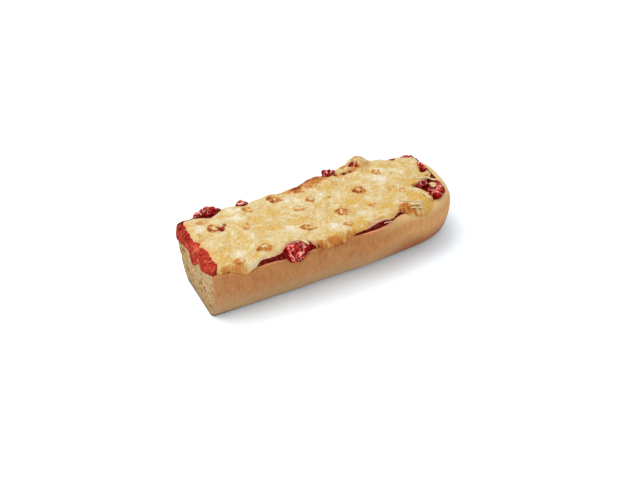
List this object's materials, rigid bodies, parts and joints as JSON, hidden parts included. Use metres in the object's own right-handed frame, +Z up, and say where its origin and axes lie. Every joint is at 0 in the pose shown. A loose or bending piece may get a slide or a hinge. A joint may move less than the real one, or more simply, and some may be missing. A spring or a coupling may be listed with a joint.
{
  "type": "half-baguette cheese pizza",
  "caption": "Half-baguette cheese pizza with one flat cut end and one round end, topped with tomato sauce, soft tomato and blistered melted cheese.",
  "frame": {"origin": "middle of the underside of the whole piece's box, on the surface it rests on", "axes": "+X along the loaf from the flat cut end to the round end, -Y to the side with the long cheese drips, +Z up"},
  "size_m": [0.1996, 0.0818, 0.0512],
  "materials": {
    "baked_bread": "dry baked crust and open crumb, rough",
    "tomato_sauce": "moist cooked sauce, satin",
    "melted_cheese": "melted and browned in places, oily satin",
    "soft_tomato": "wet and glossy"
  },
  "bodies": {
    "root": {"bread": "baked_bread", "tomato_sauce": "tomato_sauce", "melted_cheese": "melted_cheese", "tomato_piece_1": "soft_tomato", "tomato_piece_2": "soft_tomato", "tomato_piece_3": "soft_tomato", "tomato_piece_4": "soft_tomato", "tomato_piece_5": "soft_tomato", "tomato_piece_6": "soft_tomato", "tomato_piece_7": "soft_tomato", "tomato_piece_8": "soft_tomato"}
  },
  "joints": []
}
